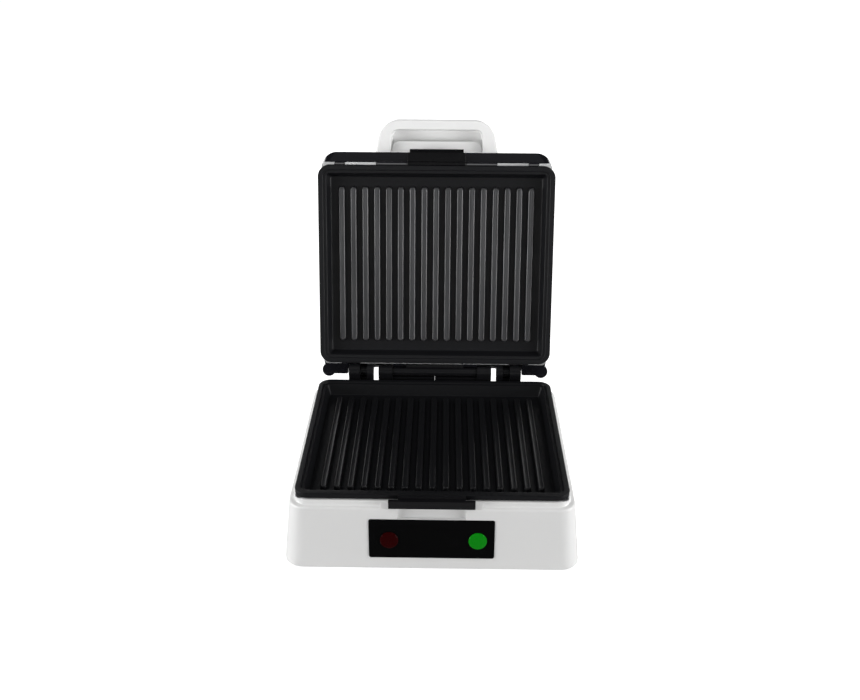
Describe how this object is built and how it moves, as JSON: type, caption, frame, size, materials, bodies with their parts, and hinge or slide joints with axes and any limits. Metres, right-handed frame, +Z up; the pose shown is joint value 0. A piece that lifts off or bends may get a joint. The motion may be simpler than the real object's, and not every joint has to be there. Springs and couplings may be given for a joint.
{
  "type": "sandwich toaster",
  "caption": "Electric sandwich toaster: white housing and hinged lid with removable black ribbed plates, latches, two pilot lamps and a handle on the lid.",
  "frame": {"origin": "bottom centre of the bounding box with the lid open, on the surface the toaster stands on", "axes": "+X to the right as seen from the front, +Y to the back, +Z up; the lid is open at rest"},
  "size_m": [0.263, 0.324, 0.3254],
  "materials": {
    "white_plastic": "smooth white, semi-gloss",
    "grey_plastic": "plain moulded",
    "black_gloss": "polished black",
    "black_plastic": "satin black",
    "non_stick": "black non-stick coat on cast aluminium",
    "reflector_sheet": "bright sheet",
    "element_steel": "oxidised steel tube",
    "steel": "zinc plated",
    "red_lens": "clear red",
    "green_lens": "clear green",
    "bulb_glass": "neon lamp",
    "ceramic": "ceramic and sleeve",
    "lead_sleeve": "insulated lead",
    "rubber": "matte"
  },
  "bodies": {
    "base": {"base_shell": "white_plastic", "base_cover": "grey_plastic", "feet": "rubber", "cover_screws": "steel", "front_panel": "black_gloss", "red_lens": "red_lens", "green_lens": "green_lens", "lamp_collars": "grey_plastic", "lamp_bulbs": "bulb_glass", "lower_plate": "non_stick", "lower_reflector": "reflector_sheet", "lower_element": "element_steel", "lower_clips": "steel", "thermostat": "ceramic", "lower_fuse": "ceramic", "terminal_block": "ceramic", "cord_gland": "rubber", "base_wires": "lead_sleeve", "left_bracket": "black_plastic", "right_bracket": "black_plastic", "bracket_screws": "steel", "hinge_pins": "steel", "lower_latch_springs": "steel"},
    "lid": {"lid_shell": "white_plastic", "lid_frame": "black_gloss", "handle": "white_plastic", "handle_screws": "steel", "lid_screws": "steel", "upper_plate": "non_stick", "upper_reflector": "reflector_sheet", "upper_element": "element_steel", "upper_clips": "steel", "upper_fuse": "ceramic", "hinge_barrel": "black_plastic", "left_leaf": "steel", "right_leaf": "steel", "leaf_screws": "steel", "lid_wires": "lead_sleeve", "upper_latch_springs": "steel"},
    "lower_latch": {"lower_latch": "black_plastic", "lower_latch_clip": "steel"},
    "upper_latch": {"upper_latch": "black_gloss", "upper_latch_clip": "steel"}
  },
  "joints": [
    {"name": "lid_hinge", "type": "hinge", "parent": "base", "child": "lid", "pos_m": [0, 0.06302, 0.0791], "axis": [1, 0, 0], "range_deg": [0, 105.5]},
    {"name": "lower_latch_slide", "type": "slide", "parent": "base", "child": "lower_latch", "axis": [0, -1, 0], "range_m": [0, 0.0025], "stiffness_N_per_m": 800, "springref_m": -0.002, "deforming": ["lower_latch_springs"]},
    {"name": "upper_latch_slide", "type": "slide", "parent": "lid", "child": "upper_latch", "axis": [0, 0.2672, 0.9636], "range_m": [0, 0.0025], "stiffness_N_per_m": 800, "springref_m": -0.002, "deforming": ["upper_latch_springs"]}
  ]
}
